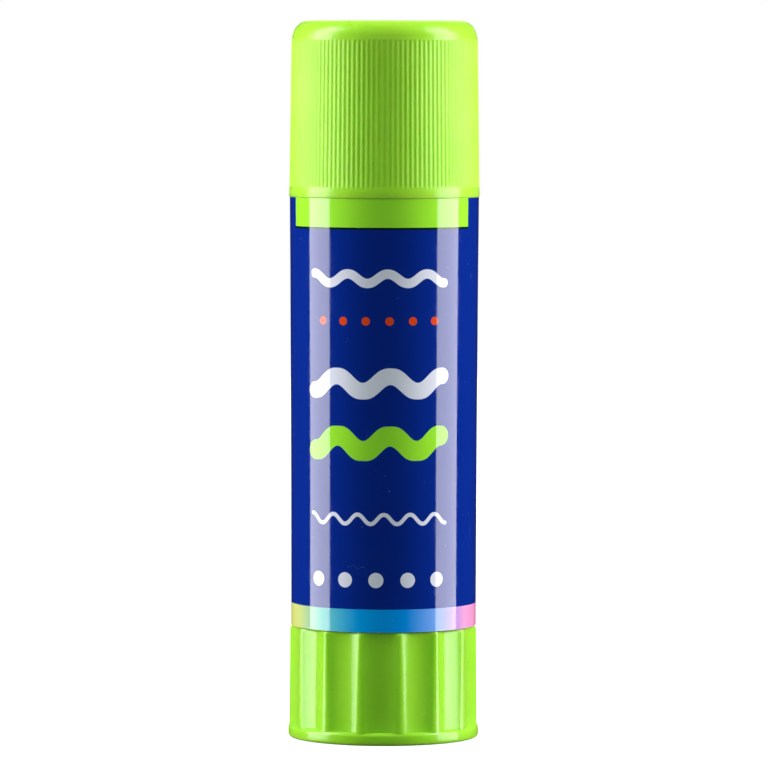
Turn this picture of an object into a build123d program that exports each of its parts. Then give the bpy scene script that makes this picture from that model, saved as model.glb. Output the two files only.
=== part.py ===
from build123d import *

import os
from math import atan2, cos, degrees, hypot, radians, sin, sqrt

# Twist-up glue stick in millimetres. The axis is Z, the standing face is z = 0 and the front faces -Y.

# Heights of the three outside pieces, stacked from the standing face
knob_height = 17.0
knob_running_gap = 0.1
barrel_length = 65.3
cap_height = 26.7

# Radius of the barrel's wall, which the other outside pieces follow
barrel_radius = 14.12

# Knob: round standing flange, then a body whose finger flutes meet in narrow rounded ridges
flange_overhang = 0.38
flange_height = 1.9
flange_foot_chamfer = 0.4
flange_top_chamfer = 0.5
ridge_overhang = 0.2
ridge_edge_radius = 1.2
flute_count = 15
flute_scoop_radius = 9.0
flute_front_angle = -92.0
knob_floor = 1.8
underside_recess = 0.8
standing_ring_width = 2.1
knob_wall = 1.2
boss_radius = 4.4
boss_height = 6.4
socket_depth = 5.6
socket_clearance = 0.03

# Snap ring inside the knob, which holds the bead of the barrel's spigot
snap_ring_height = 1.2
snap_ring_depth = 0.42
snap_ring_below_top = 3.6
snap_end_play = 0.3
snap_bead_height = 1.5
spigot_running_gap = 0.2
snap_bead_depth = 0.42
snap_lead = 0.3

# Barrel: tube with a floor web, a spigot below and a neck above
barrel_wall = 1.05
spigot_wall = 1.1
web_thickness = 1.4
web_above_foot = 1.6
neck_height = 14.0
neck_wall = 1.1
neck_step = 1.02
neck_rim_chamfer = 0.4
neck_bead_height = 1.6
neck_bead_above_ledge = 2.2
guide_rib_count = 4
guide_rib_width = 1.2
guide_rib_start_angle = 45.0
key_rib_count = 2
key_rib_width = 1.6
key_rib_depth = 0.7
key_rib_start_angle = 0.0
key_rib_below_rim = 1.0
rib_root_share = 0.4

# Label: printed film wrapped once round the barrel, with a glued overlap at the back
label_film = 0.1
label_adhesive = 0.03
label_edge_margin = 0.12
label_overlap_angle = 16.0
label_overlap_start_angle = 82.0

# Cap: smooth rim band, ribbed skirt, rounded crown
cap_rim_overhang = 0.38
cap_rim_height = 1.7
rib_count = 120
rib_depth = 0.25
rib_flank_share = 0.2
rib_crest_overhang_low = 0.31
rib_crest_overhang_high = 0.04
rib_end_height = 0.5
crown_inset = 0.1
crown_height = 2.9
crown_corner_width = 2.3
crown_steps = 3
cap_fit_clearance = 0.08
cap_neck_clearance = 0.25
cap_top_wall = 1.5
cap_mouth_lead = 0.3

# Spindle: square key in the knob, journal in the web, collar on the web, then the threaded rod
thread_radius = 3.0
journal_clearance = 0.08
journal_radius = 3.8
collar_radius = 5.6
collar_height = 1.2
key_width = 4.8
spindle_tip_below_rim = 4.4
spindle_tip_chamfer = 0.7

# Carrier: cup for the foot of the glue, on a nut that climbs the thread
carrier_clearance = 0.15
carrier_wall = 0.75
carrier_floor = 1.2
carrier_cup_height = 8.0
nut_radius = 5.0
nut_clearance = 0.06
nut_above_floor = 5.0
nut_below_floor = 2.8
carrier_key_clearance = 0.3

# Glue: part-used column, cast round the nut and the spindle
glue_length = 30.0
glue_clearance = 0.1
glue_hole_clearance = 0.4
glue_below_rim = 0.5

# One overrun for every cut
cut_overrun = 1.0

# Heights worked out from the stack
barrel_foot_z = knob_height + knob_running_gap
ledge_z = barrel_foot_z + barrel_length
neck_rim_z = ledge_z + neck_height
cap_top_z = ledge_z + cap_height
knob_floor_z = underside_recess + knob_floor
boss_top_z = knob_floor_z + boss_height
web_low_z = barrel_foot_z + web_above_foot
web_high_z = web_low_z + web_thickness
collar_top_z = web_high_z + collar_height
spindle_tip_z = neck_rim_z - spindle_tip_below_rim
glue_top_z = neck_rim_z - glue_below_rim
glue_foot_z = glue_top_z - glue_length
nut_top_z = glue_foot_z + nut_above_floor
nut_foot_z = glue_foot_z - carrier_floor - nut_below_floor

# Radii worked out from the barrel's and from what they fit
flange_radius = barrel_radius + flange_overhang
standing_ring_bore_radius = flange_radius - standing_ring_width
ridge_crest_radius = barrel_radius + ridge_overhang
ridge_centre_radius = ridge_crest_radius - ridge_edge_radius
half_flute_angle = 180 / flute_count
ridge_centre_across = ridge_centre_radius * sin(radians(half_flute_angle))
ridge_centre_along = ridge_centre_radius * cos(radians(half_flute_angle))
scoop_to_ridge = flute_scoop_radius + ridge_edge_radius
scoop_centre_radius = ridge_centre_along + sqrt(scoop_to_ridge**2 - ridge_centre_across**2)
flute_floor_radius = scoop_centre_radius - flute_scoop_radius
knob_bore_radius = flute_floor_radius - knob_wall
snap_ring_radius = knob_bore_radius - snap_ring_depth
spigot_radius = snap_ring_radius - spigot_running_gap
snap_bead_radius = spigot_radius + snap_bead_depth
main_bore_radius = barrel_radius - barrel_wall
neck_radius = barrel_radius - neck_step
neck_bore_radius = neck_radius - neck_wall
cap_bore_radius = neck_radius + cap_neck_clearance
neck_bead_radius = cap_bore_radius - cap_fit_clearance
cap_rim_radius = barrel_radius + cap_rim_overhang
rib_crest_radius_low = barrel_radius + rib_crest_overhang_low
rib_crest_radius_high = barrel_radius + rib_crest_overhang_high
crown_radius = barrel_radius - crown_inset
key_tip_radius = neck_bore_radius - key_rib_depth
carrier_radius = neck_bore_radius - carrier_clearance
glue_radius = carrier_radius - carrier_wall - glue_clearance


def polar(radius, angle):
    """Point at a radius and an angle in degrees."""
    return (radius * cos(radians(angle)), radius * sin(radians(angle)))


def upright(angle):
    """Half plane through the axis: local x runs outwards at the angle and local y runs up."""
    outwards = polar(1, angle)
    return Plane(origin=(0, 0, 0), x_dir=(*outwards, 0), z_dir=(outwards[1], -outwards[0], 0))


# Knob

# A scoop and a ridge run into each other on the line between their centres
scoop_share = flute_scoop_radius / scoop_to_ridge
meeting_across = scoop_share * ridge_centre_across
meeting_along = scoop_centre_radius + scoop_share * (ridge_centre_along - scoop_centre_radius)
meeting_radius = hypot(meeting_across, meeting_along)
meeting_angle = degrees(atan2(meeting_across, meeting_along))

with BuildPart() as knob:
    # Body with one scoop arc and one ridge arc for each flute
    with BuildSketch(Plane.XY.offset(underside_recess)):
        with BuildLine():
            for flute in range(flute_count):
                flute_angle = flute_front_angle + 2 * half_flute_angle * flute
                ridge_angle = flute_angle + half_flute_angle
                next_flute_angle = ridge_angle + half_flute_angle
                ThreePointArc(
                    polar(meeting_radius, flute_angle - meeting_angle),
                    polar(flute_floor_radius, flute_angle),
                    polar(meeting_radius, flute_angle + meeting_angle),
                )
                ThreePointArc(
                    polar(meeting_radius, flute_angle + meeting_angle),
                    polar(ridge_crest_radius, ridge_angle),
                    polar(meeting_radius, next_flute_angle - meeting_angle),
                )
        make_face()
    extrude(amount=knob_height - underside_recess)
    # Round standing flange
    with BuildSketch(Plane.XZ):
        with BuildLine():
            Polyline(
                (0, 0),
                (flange_radius - flange_foot_chamfer, 0),
                (flange_radius, flange_foot_chamfer),
                (flange_radius, flange_height - flange_top_chamfer),
                (flange_radius - flange_top_chamfer, flange_height),
                (0, flange_height),
                close=True,
            )
        make_face()
    revolve(axis=Axis.Z)
    # Cup with its snap ring
    snap_ring_top_z = knob_height - snap_ring_below_top
    snap_ring_foot_z = snap_ring_top_z - snap_ring_height
    with BuildSketch(Plane.XZ):
        with BuildLine():
            Polyline(
                (0, knob_floor_z),
                (knob_bore_radius, knob_floor_z),
                (knob_bore_radius, snap_ring_foot_z - snap_lead),
                (snap_ring_radius, snap_ring_foot_z),
                (snap_ring_radius, snap_ring_top_z),
                (knob_bore_radius, snap_ring_top_z + snap_ring_depth),
                (knob_bore_radius, knob_height + cut_overrun),
                (0, knob_height + cut_overrun),
                close=True,
            )
        make_face()
    revolve(axis=Axis.Z, mode=Mode.SUBTRACT)
    # Recess inside the standing ring
    with BuildSketch():
        Circle(standing_ring_bore_radius)
    extrude(amount=underside_recess, mode=Mode.SUBTRACT)
    # Boss with a square socket for the spindle
    with BuildSketch(Plane.XY.offset(knob_floor_z)):
        Circle(boss_radius)
    extrude(amount=boss_height)
    with BuildSketch(Plane.XY.offset(boss_top_z)):
        Rectangle(key_width + 2 * socket_clearance, key_width + 2 * socket_clearance)
    extrude(amount=-socket_depth, mode=Mode.SUBTRACT)

# Barrel

spigot_bore_radius = spigot_radius - spigot_wall
snap_bead_top_z = snap_ring_foot_z - snap_lead - snap_end_play
spigot_foot_z = snap_bead_top_z - snap_bead_height
neck_bore_foot_z = ledge_z - barrel_wall
web_hole_radius = journal_radius + journal_clearance
bead_foot_z = ledge_z + neck_bead_above_ledge
bead_top_z = bead_foot_z + neck_bead_height
bead_height_out = neck_bead_radius - neck_radius

with BuildPart() as barrel:
    with BuildSketch(Plane.XZ):
        with BuildLine():
            Polyline(
                (spigot_bore_radius, spigot_foot_z),
                (snap_bead_radius, spigot_foot_z),
                (snap_bead_radius, snap_bead_top_z),
                (spigot_radius, snap_bead_top_z),
                (spigot_radius, barrel_foot_z),
                (barrel_radius, barrel_foot_z),
                (barrel_radius, ledge_z),
                (neck_radius, ledge_z),
                (neck_radius, bead_foot_z - bead_height_out),
                (neck_bead_radius, bead_foot_z),
                (neck_bead_radius, bead_top_z),
                (neck_radius, bead_top_z + bead_height_out),
                (neck_radius, neck_rim_z - neck_rim_chamfer),
                (neck_radius - neck_rim_chamfer, neck_rim_z),
                (neck_bore_radius, neck_rim_z),
                (neck_bore_radius, neck_bore_foot_z),
                (main_bore_radius, neck_bore_foot_z - main_bore_radius + neck_bore_radius),
                (main_bore_radius, web_high_z),
                (web_hole_radius, web_high_z),
                (web_hole_radius, web_low_z),
                (spigot_bore_radius, web_low_z),
                close=True,
            )
        make_face()
    revolve(axis=Axis.Z)
    # Guide ribs centre the carrier in the wide bore, as far up as the neck
    guide_length = main_bore_radius + rib_root_share * barrel_wall - neck_bore_radius
    with BuildSketch(Plane.XY.offset(web_high_z)):
        with PolarLocations(neck_bore_radius + guide_length / 2, guide_rib_count, guide_rib_start_angle):
            Rectangle(guide_length, guide_rib_width)
    extrude(amount=neck_bore_foot_z - web_high_z)
    # Key ribs stop the carrier from turning, and run on through the neck
    key_length = main_bore_radius + rib_root_share * barrel_wall - key_tip_radius
    with BuildSketch(Plane.XY.offset(web_high_z)):
        with PolarLocations(key_tip_radius + key_length / 2, key_rib_count, key_rib_start_angle):
            Rectangle(key_length, key_rib_width)
    extrude(amount=neck_bore_foot_z - web_high_z)
    neck_key_length = neck_bore_radius + rib_root_share * neck_wall - key_tip_radius
    with BuildSketch(Plane.XY.offset(neck_bore_foot_z)):
        with PolarLocations(key_tip_radius + neck_key_length / 2, key_rib_count, key_rib_start_angle):
            Rectangle(neck_key_length, key_rib_width)
    extrude(amount=neck_rim_z - key_rib_below_rim - neck_bore_foot_z)

# Label

label_foot_z = barrel_foot_z + label_edge_margin
label_top_z = ledge_z - label_edge_margin


def film_profile(under, over):
    """Upright slice of film between two distances from the barrel's wall."""
    with BuildSketch(upright(label_overlap_start_angle)) as film:
        with BuildLine():
            Polyline(
                (barrel_radius + under, label_foot_z),
                (barrel_radius + over, label_foot_z),
                (barrel_radius + over, label_top_z),
                (barrel_radius + under, label_top_z),
                close=True,
            )
        make_face()
    return film.sketch


with BuildPart() as label:
    wrap_outside = label_adhesive + label_film
    revolve(film_profile(label_adhesive, wrap_outside), axis=Axis.Z)
    overlap = film_profile(wrap_outside, wrap_outside + label_film)
    revolve(overlap, axis=Axis.Z, revolution_arc=label_overlap_angle)

# Cap

rib_foot_z = ledge_z + cap_rim_height
rib_head_z = cap_top_z - crown_height
rib_pitch_angle = 360 / rib_count


def ribbed_outline(height, crest_radius):
    """Closed ring of ribs: a valley line, then a flank up to each side of a crest."""
    corners = []
    for rib in range(rib_count):
        start_angle = rib * rib_pitch_angle
        flank_angle = rib_flank_share * rib_pitch_angle
        corners.append(polar(crest_radius - rib_depth, start_angle))
        corners.append(polar(crest_radius, start_angle + flank_angle))
        corners.append(polar(crest_radius, start_angle + rib_pitch_angle - flank_angle))
    with BuildSketch(Plane.XY.offset(height)) as ring:
        with BuildLine():
            Polyline(*corners, close=True)
        make_face()
    return ring.sketch


with BuildPart() as cap:
    ribs_low = ribbed_outline(rib_foot_z, rib_crest_radius_low)
    ribs_high = ribbed_outline(rib_head_z, rib_crest_radius_high)
    loft([ribs_low, ribs_high], ruled=True)
    # Sloping run-outs where the ribs meet the crown
    valley_radius = rib_crest_radius_high - rib_depth
    run_out_length = rib_end_height * (cap_rim_radius - valley_radius) / rib_depth
    with BuildSketch(Plane.XZ):
        with BuildLine():
            Polyline(
                (0, rib_foot_z),
                (cap_rim_radius, rib_foot_z),
                (cap_rim_radius, rib_head_z - run_out_length),
                (valley_radius, rib_head_z),
                (0, rib_head_z),
                close=True,
            )
        make_face()
    revolve(axis=Axis.Z, mode=Mode.INTERSECT)
    # Smooth rim band, which stands just proud of the ribs
    with BuildSketch(Plane.XY.offset(ledge_z)):
        Circle(cap_rim_radius)
    extrude(amount=cap_rim_height)
    # Crown, whose shoulder follows a quarter ellipse
    flat_radius = crown_radius - crown_corner_width
    shoulder = [(0, rib_head_z)]
    for step in range(crown_steps + 1):
        across, up = polar(1, 90 * step / crown_steps)
        shoulder.append((flat_radius + crown_corner_width * across, rib_head_z + crown_height * up))
    with BuildSketch(Plane.XZ):
        with BuildLine():
            Polyline(*shoulder, (0, cap_top_z), close=True)
        make_face()
    revolve(axis=Axis.Z)
    # Inside: plain bore with a lead at the mouth
    inside_top_z = cap_top_z - cap_top_wall
    with BuildSketch(Plane.XZ):
        with BuildLine():
            Polyline(
                (0, inside_top_z),
                (0, ledge_z),
                (cap_bore_radius + cap_mouth_lead, ledge_z),
                (cap_bore_radius, ledge_z + cap_mouth_lead),
                (cap_bore_radius, inside_top_z),
                close=True,
            )
        make_face()
    revolve(axis=Axis.Z, mode=Mode.SUBTRACT)

# Spindle

with BuildPart() as spindle:
    with BuildSketch(Plane.XZ):
        with BuildLine():
            Polyline(
                (0, boss_top_z),
                (journal_radius, boss_top_z),
                (journal_radius, web_high_z),
                (collar_radius, web_high_z),
                (collar_radius, collar_top_z),
                (thread_radius, collar_top_z),
                (thread_radius, spindle_tip_z - spindle_tip_chamfer),
                (thread_radius - spindle_tip_chamfer, spindle_tip_z),
                (0, spindle_tip_z),
                close=True,
            )
        make_face()
    revolve(axis=Axis.Z)
    with BuildSketch(Plane.XY.offset(boss_top_z - socket_depth)):
        Rectangle(key_width, key_width)
    extrude(amount=socket_depth)

# Carrier

cup_bore_radius = carrier_radius - carrier_wall
carrier_foot_z = glue_foot_z - carrier_floor
nut_bore_radius = thread_radius + nut_clearance

with BuildPart() as carrier:
    with BuildSketch(Plane.XZ):
        with BuildLine():
            Polyline(
                (nut_bore_radius, nut_foot_z),
                (nut_radius, nut_foot_z),
                (nut_radius, carrier_foot_z),
                (carrier_radius, carrier_foot_z),
                (carrier_radius, glue_foot_z + carrier_cup_height),
                (cup_bore_radius, glue_foot_z + carrier_cup_height),
                (cup_bore_radius, glue_foot_z),
                (nut_radius, glue_foot_z),
                (nut_radius, nut_top_z),
                (nut_bore_radius, nut_top_z),
                close=True,
            )
        make_face()
    revolve(axis=Axis.Z)
    # Slots that straddle the key ribs
    slot_foot_radius = key_tip_radius - carrier_key_clearance
    slot_length = carrier_radius - slot_foot_radius + cut_overrun
    with BuildSketch(Plane.XY.offset(carrier_foot_z)):
        with PolarLocations(slot_foot_radius + slot_length / 2, key_rib_count, key_rib_start_angle):
            Rectangle(slot_length, key_rib_width + 2 * carrier_key_clearance)
    extrude(amount=carrier_floor + carrier_cup_height, mode=Mode.SUBTRACT)

# Glue

nut_recess_radius = nut_radius + glue_clearance
glue_hole_radius = thread_radius + glue_hole_clearance

with BuildPart() as glue_stick:
    with BuildSketch(Plane.XZ):
        with BuildLine():
            Polyline(
                (nut_recess_radius, glue_foot_z),
                (glue_radius, glue_foot_z),
                (glue_radius, glue_top_z),
                (glue_hole_radius, glue_top_z),
                (glue_hole_radius, nut_top_z + glue_clearance),
                (nut_recess_radius, nut_top_z + glue_clearance),
                close=True,
            )
        make_face()
    revolve(axis=Axis.Z)

# One STEP file for each piece, named as the piece

pieces = {
    "knob": knob,
    "barrel": barrel,
    "label": label,
    "cap": cap,
    "spindle": spindle,
    "carrier": carrier,
    "glue_stick": glue_stick,
}
os.makedirs("parts", exist_ok=True)
for name, piece in pieces.items():
    piece.part.label = name
    export_step(piece.part, f"parts/{name}.step")
    print(name, round(piece.part.volume), "mm3")
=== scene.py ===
from math import atan2, cos, degrees, exp, pi, radians, sin, sqrt

import bmesh
import bpy
from mathutils import Matrix, Vector


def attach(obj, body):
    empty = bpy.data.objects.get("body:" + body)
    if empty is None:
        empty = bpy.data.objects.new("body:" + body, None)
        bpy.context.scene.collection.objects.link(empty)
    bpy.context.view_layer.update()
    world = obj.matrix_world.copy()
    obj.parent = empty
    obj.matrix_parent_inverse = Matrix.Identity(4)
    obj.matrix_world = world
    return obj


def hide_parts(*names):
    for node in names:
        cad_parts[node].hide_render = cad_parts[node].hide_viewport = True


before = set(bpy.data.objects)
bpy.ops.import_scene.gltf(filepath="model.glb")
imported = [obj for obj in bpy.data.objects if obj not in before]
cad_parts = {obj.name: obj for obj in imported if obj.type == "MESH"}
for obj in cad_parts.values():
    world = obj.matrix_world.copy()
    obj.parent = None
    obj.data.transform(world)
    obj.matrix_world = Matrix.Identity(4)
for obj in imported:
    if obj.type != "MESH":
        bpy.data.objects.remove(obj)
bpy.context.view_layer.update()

# Outlines are in millimetres, (radius, height, rounding), and become metres when a piece is made
mm = 0.001
tiny = 1e-6
fullTurn = 360.0
scene = bpy.context.scene
scene.view_settings.view_transform = "Standard"


def linear(red, green, blue):
    # 0-255 screen colour to the linear colour that a shader socket holds
    channels = [c / 255 for c in (red, green, blue)]
    return [c / 12.92 if c <= 0.04045 else ((c + 0.055) / 1.055) ** 2.4 for c in channels] + [1.0]


# Mesh helpers

meshing = {
    "arcStep": 15,  # degrees in one step of a rounded corner
    "sectors": 12,
    "mergeDistance": 1e-7, "sliverDistance": 1e-8,  # in metres
    "sharpAngle": 38,
}


def smoothStep(low, high, value):
    t = min(1.0, max(0.0, (value - low) / (high - low)))
    return t * t * (3 - 2 * t)


def smoothMax(a, b, softness):
    return (a + b + sqrt((a - b) ** 2 + softness ** 2)) / 2


def roundedOutline(corners, closed=True):
    # each corner is (radius, height) or (radius, height, rounding)
    points = []
    count = len(corners)
    for i, corner in enumerate(corners):
        here = Vector(corner[:2])
        rounding = corner[2] if len(corner) > 2 else 0
        if not rounding or (not closed and i in (0, count - 1)):
            points.append(here)
            continue
        before = (Vector(corners[i - 1][:2]) - here).normalized()
        after = (Vector(corners[(i + 1) % count][:2]) - here).normalized()
        half = before.angle(after) / 2
        reach = rounding / max(tiny, (sin(half) / cos(half)))
        centre = here + (before + after).normalized() * rounding / sin(half)
        first = here + before * reach - centre
        last = here + after * reach - centre
        turn = first.angle_signed(last)
        steps = max(2, round(abs(degrees(turn)) / meshing["arcStep"]))
        for k in range(steps + 1):
            points.append(centre + Matrix.Rotation(-turn * k / steps, 2) @ first)
    return points


def spinOutline(bm, points, steps, closed=True, start=0.0, sweep=fullTurn):
    # a wire of a few vertices, turned about the axis
    turn = Matrix.Rotation(radians(start), 3, "Z")
    verts = [bm.verts.new(turn @ Vector((p[0] * mm, 0, p[1] * mm))) for p in points]
    edges = [bm.edges.new(pair) for pair in zip(verts, verts[1:])]
    if closed:
        edges.append(bm.edges.new((verts[-1], verts[0])))
    # a full turn is one sector spun, and copies of it, whose seams tidyMesh closes: far quicker than one long spin
    sectors = meshing["sectors"] if sweep == fullTurn else 1
    bmesh.ops.spin(bm, geom=verts + edges, cent=(0, 0, 0), axis=(0, 0, 1),
                   angle=radians(sweep / sectors), steps=round(steps / sectors))
    if sectors > 1:
        bmesh.ops.spin(bm, geom=bm.verts[:] + bm.edges[:] + bm.faces[:], cent=(0, 0, 0), axis=(0, 0, 1),
                       angle=radians(sweep - sweep / sectors), steps=sectors - 1, use_duplicate=True)


def tidyMesh(bm):
    bmesh.ops.remove_doubles(bm, verts=bm.verts, dist=meshing["mergeDistance"])
    bmesh.ops.dissolve_degenerate(bm, edges=bm.edges, dist=meshing["sliverDistance"])
    bmesh.ops.recalc_face_normals(bm, faces=bm.faces)


def joinInto(bm, other):
    mesh = bpy.data.meshes.new("joined")
    other.to_mesh(mesh)
    other.free()
    bm.from_mesh(mesh)
    bpy.data.meshes.remove(mesh)


def setRadius(vert, old, new):
    vert.co.x *= new / old
    vert.co.y *= new / old


def shapeRadius(bm, rule):
    # rule gets radius, angle in degrees and height, and gives the new radius
    for vert in bm.verts:
        radius = vert.co.xy.length / mm
        if radius < tiny:
            continue
        angle = degrees(atan2(vert.co.y, vert.co.x))
        setRadius(vert, radius, rule(radius, angle, vert.co.z / mm))


def finishPiece(bm, name, body, material, replaced, sharpAngle=meshing["sharpAngle"]):
    mesh = bpy.data.meshes.new(name)
    bm.to_mesh(mesh)
    bm.free()
    piece = bpy.data.objects.new(name, mesh)
    scene.collection.objects.link(piece)
    mesh.shade_smooth()
    mesh.set_sharp_from_angle(angle=radians(sharpAngle))
    mesh.materials.append(material)
    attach(piece, body)
    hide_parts(replaced)


# Material helpers

def newMaterial(name):
    material = bpy.data.materials.new(name)
    material.use_nodes = True
    tree = material.node_tree
    return material, tree, tree.nodes["Principled BSDF"]


def setSockets(node, **values):
    for label, value in values.items():
        node.inputs[label.replace("_", " ")].default_value = value


def feed(tree, socket, value):
    # a socket takes either a value or a link
    if isinstance(value, (int, float, list, tuple)):
        socket.default_value = value
    else:
        tree.links.new(value, socket)


def calc(tree, operation, *values):
    node = tree.nodes.new("ShaderNodeMath")
    node.operation = operation
    for socket, value in zip(node.inputs, values):
        feed(tree, socket, value)
    return node.outputs[0]


def ramped(tree, value, low, high, toLow=0.0, toHigh=1.0, smooth=True):
    node = tree.nodes.new("ShaderNodeMapRange")
    node.interpolation_type = "SMOOTHSTEP" if smooth else "LINEAR"
    setSockets(node, From_Min=low, From_Max=high, To_Min=toLow, To_Max=toHigh)
    tree.links.new(value, node.inputs["Value"])
    return node.outputs["Result"]


def stepUp(tree, value, edge, softness):
    return ramped(tree, value, edge - softness, edge + softness)


def stepDown(tree, value, edge, softness):
    return ramped(tree, value, edge - softness, edge + softness, 1.0, 0.0)


def mixed(tree, factor, first, second):
    node = tree.nodes.new("ShaderNodeMix")
    node.data_type = "RGBA"
    # the colour pair of a Mix node stands at inputs 6 and 7
    for index, value in ((0, factor), (6, first), (7, second)):
        feed(tree, node.inputs[index], value)
    return node.outputs[2]


def placed(tree, stretch=(1, 1, 1), turned=(0, 0, 0), moved=(0, 0, 0)):
    where = tree.nodes.new("ShaderNodeTexCoord")
    mapping = tree.nodes.new("ShaderNodeMapping")
    setSockets(mapping, Scale=stretch, Rotation=[radians(a) for a in turned], Location=moved)
    tree.links.new(where.outputs["Object"], mapping.inputs["Vector"])
    return mapping.outputs["Vector"]


def noise(tree, scale, detail=2.0, roughness=0.5, **placing):
    node = tree.nodes.new("ShaderNodeTexNoise")
    setSockets(node, Scale=scale, Detail=detail, Roughness=roughness)
    tree.links.new(placed(tree, **placing), node.inputs["Vector"])
    return node.outputs["Fac"]


def aroundAndUp(tree):
    # azimuth in degrees, 0 at the front and growing to the right, and height in millimetres
    where = tree.nodes.new("ShaderNodeTexCoord")
    parts = tree.nodes.new("ShaderNodeSeparateXYZ")
    tree.links.new(where.outputs["Object"], parts.inputs[0])
    back = calc(tree, "MULTIPLY", parts.outputs["Y"], -1.0)
    around = calc(tree, "ARCTAN2", parts.outputs["X"], back)
    return calc(tree, "MULTIPLY", around, 180 / pi), calc(tree, "MULTIPLY", parts.outputs["Z"], 1 / mm)


scratching = {
    "detail": 1.0, "roughness": 0.4,
    "patches": {"scale": 260.0, "detail": 1.0, "turned": (20, 10, 0), "moved": (0.3, 0.1, 0.2)},
    "patchEdge": 0.06,
}


def scratches(tree, scale, stretch, turned, width, amount):
    # thin broken lines: the zero crossings of a stretched noise, kept only in patches
    lines = noise(tree, scale, scratching["detail"], scratching["roughness"], stretch=stretch, turned=turned)
    thin = ramped(tree, calc(tree, "ABSOLUTE", calc(tree, "SUBTRACT", lines, 0.5)), 0.0, width, 1.0, 0.0)
    patches = noise(tree, **scratching["patches"])
    kept = ramped(tree, patches, 1.0 - amount, 1.0 - amount + scratching["patchEdge"])
    return calc(tree, "MULTIPLY", thin, kept)


def bumped(tree, height, bump, normal=None):
    # bump is (strength, distance in metres)
    node = tree.nodes.new("ShaderNodeBump")
    setSockets(node, Strength=bump[0], Distance=bump[1])
    tree.links.new(height, node.inputs["Height"])
    if normal is not None:
        tree.links.new(normal, node.inputs["Normal"])
    return node.outputs["Normal"]


def setGlow(shader, finish):
    # light that travels a little way in the material
    setSockets(shader, Subsurface_Weight=finish["glow"], Subsurface_Scale=finish["glowDepth"])
    shader.inputs["Subsurface Radius"].default_value = finish["glowColour"]


# Lime green moulded plastic of the cap and the knob, with the knob's copy darker as painted shade

limePlastic = {
    "cloud": {"scale": 120.0, "detail": 3.0}, "cloudRange": (0.35, 0.75),
    "specks": {"scale": 2600.0, "detail": 0.0}, "specksRange": (0.87, 0.9),
    "specksShare": 0.5, "specksColour": (96, 140, 52),
    "rub": {"scale": 420.0, "detail": 4.0}, "rubRange": (0.3, 0.75), "rubbed": 0.07,
    "marks": {"scale": 900.0, "stretch": (1, 1, 0.12), "turned": (12, 25, 0), "width": 0.012, "amount": 0.42},
    "marksRoughness": 0.12, "marksBump": (-0.25, 0.000012),
    "grain": {"scale": 5200.0}, "grainBump": (0.06, 0.00001),
    "flow": {"scale": 210.0, "detail": 1.0, "stretch": (1, 1, 0.5)}, "flowBump": (0.12, 0.00003),
    "ior": 1.44, "glow": 0.6, "glowDepth": 0.0022, "glowColour": (0.75, 1.0, 0.4),
    "haze": 0.22, "hazeColour": (0.95, 1.0, 0.6, 1.0), "hazeRoughness": 0.4,
}
# the ribs and the flat of the crown are duller in the mould than the rim and the shoulder
capFinish = {
    "colour": (174, 249, 56), "worn": (179, 251, 64), "polish": 0.21,
    "dullBands": [
        {"from": 83.8, "to": 106.4, "fade": 0.4, "duller": 0.2},
        {"from": 108.75, "to": 109.6, "fade": 0.25, "duller": 0.45},
    ],
}
# the knob's lime is a darker copy of the cap's same plastic: painted shade, because the knob gets less light than
# the cap
knobShadedFinish = {"colour": (161, 231, 50), "worn": (166, 234, 58), "polish": 0.16, "dullBands": []}


def makeLimePlastic(name, finish):
    lime = limePlastic
    material, tree, shader = newMaterial(name)
    # pigment that is very slightly uneven, as moulded plastic is
    cloud = ramped(tree, noise(tree, **lime["cloud"]), *lime["cloudRange"])
    colour = mixed(tree, cloud, linear(*finish["colour"]), linear(*finish["worn"]))
    specks = ramped(tree, noise(tree, **lime["specks"]), *lime["specksRange"])
    specks = calc(tree, "MULTIPLY", specks, lime["specksShare"])
    colour = mixed(tree, specks, colour, linear(*lime["specksColour"]))
    tree.links.new(colour, shader.inputs["Base Color"])
    # handling rubs and scratches the gloss
    polish = finish["polish"]
    rub = ramped(tree, noise(tree, **lime["rub"]), *lime["rubRange"], polish, polish + lime["rubbed"])
    marks = scratches(tree, **lime["marks"])
    rough = calc(tree, "ADD", rub, calc(tree, "MULTIPLY", marks, lime["marksRoughness"]))
    up = aroundAndUp(tree)[1]
    for band in finish["dullBands"]:
        low = ramped(tree, up, band["from"], band["from"] + band["fade"])
        high = ramped(tree, up, band["to"] - band["fade"], band["to"], 1.0, 0.0)
        inside = calc(tree, "MULTIPLY", low, high)
        rough = calc(tree, "ADD", rough, calc(tree, "MULTIPLY", inside, band["duller"]))
    tree.links.new(rough, shader.inputs["Roughness"])
    normal = bumped(tree, noise(tree, **lime["grain"]), lime["grainBump"])
    normal = bumped(tree, noise(tree, **lime["flow"]), lime["flowBump"], normal)
    normal = bumped(tree, marks, lime["marksBump"], normal)
    tree.links.new(normal, shader.inputs["Normal"])
    # light travels a few millimetres in the green plastic, so the ribs and flutes are soft at their edges
    setGlow(shader, lime)
    setSockets(shader, IOR=lime["ior"], Sheen_Weight=lime["haze"], Sheen_Tint=lime["hazeColour"],
               Sheen_Roughness=lime["hazeRoughness"])
    return material


# Printed film of the label

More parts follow.
